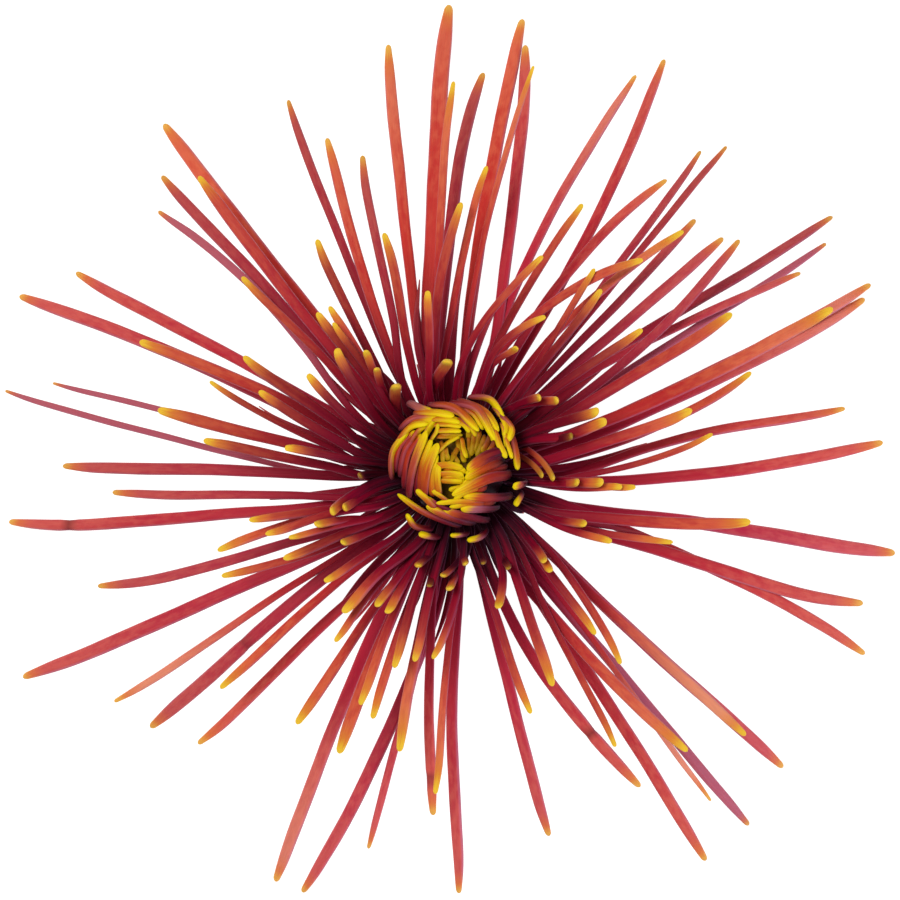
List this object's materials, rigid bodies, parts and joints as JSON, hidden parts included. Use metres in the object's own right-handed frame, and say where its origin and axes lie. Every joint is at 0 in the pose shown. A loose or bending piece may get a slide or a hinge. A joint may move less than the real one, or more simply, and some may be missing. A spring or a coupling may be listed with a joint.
{
  "type": "spider chrysanthemum bloom",
  "caption": "Cut spider chrysanthemum bloom, face up, with long quilled rays in two tiers, an incurved centre and a short stub of stem.",
  "frame": {"origin": "under the middle of the bloom's spread, on the surface that the cut stem and the lowest ray tips rest on", "axes": "+Z up along the bloom's own axis, +X to the right and +Y up as the bloom is looked at from above"},
  "size_m": [0.143, 0.1428, 0.0414],
  "materials": {
    "stem_green": "matt ribbed green stem with a pale cut end",
    "bract_green": "matt green bracts with dry papery edges",
    "ray_crimson": "satin crimson to coral petal with fine lengthwise streaks and a dull yellow tip",
    "ray_orange": "satin orange-red petal with a bright yellow tip",
    "floret_yellow": "satin yellow petal with an orange to dark red back"
  },
  "bodies": {
    "root": {"stem": "stem_green", "involucre": "bract_green", "lower_rays": "ray_crimson", "upper_rays": "ray_orange", "centre_florets": "floret_yellow"}
  },
  "joints": []
}
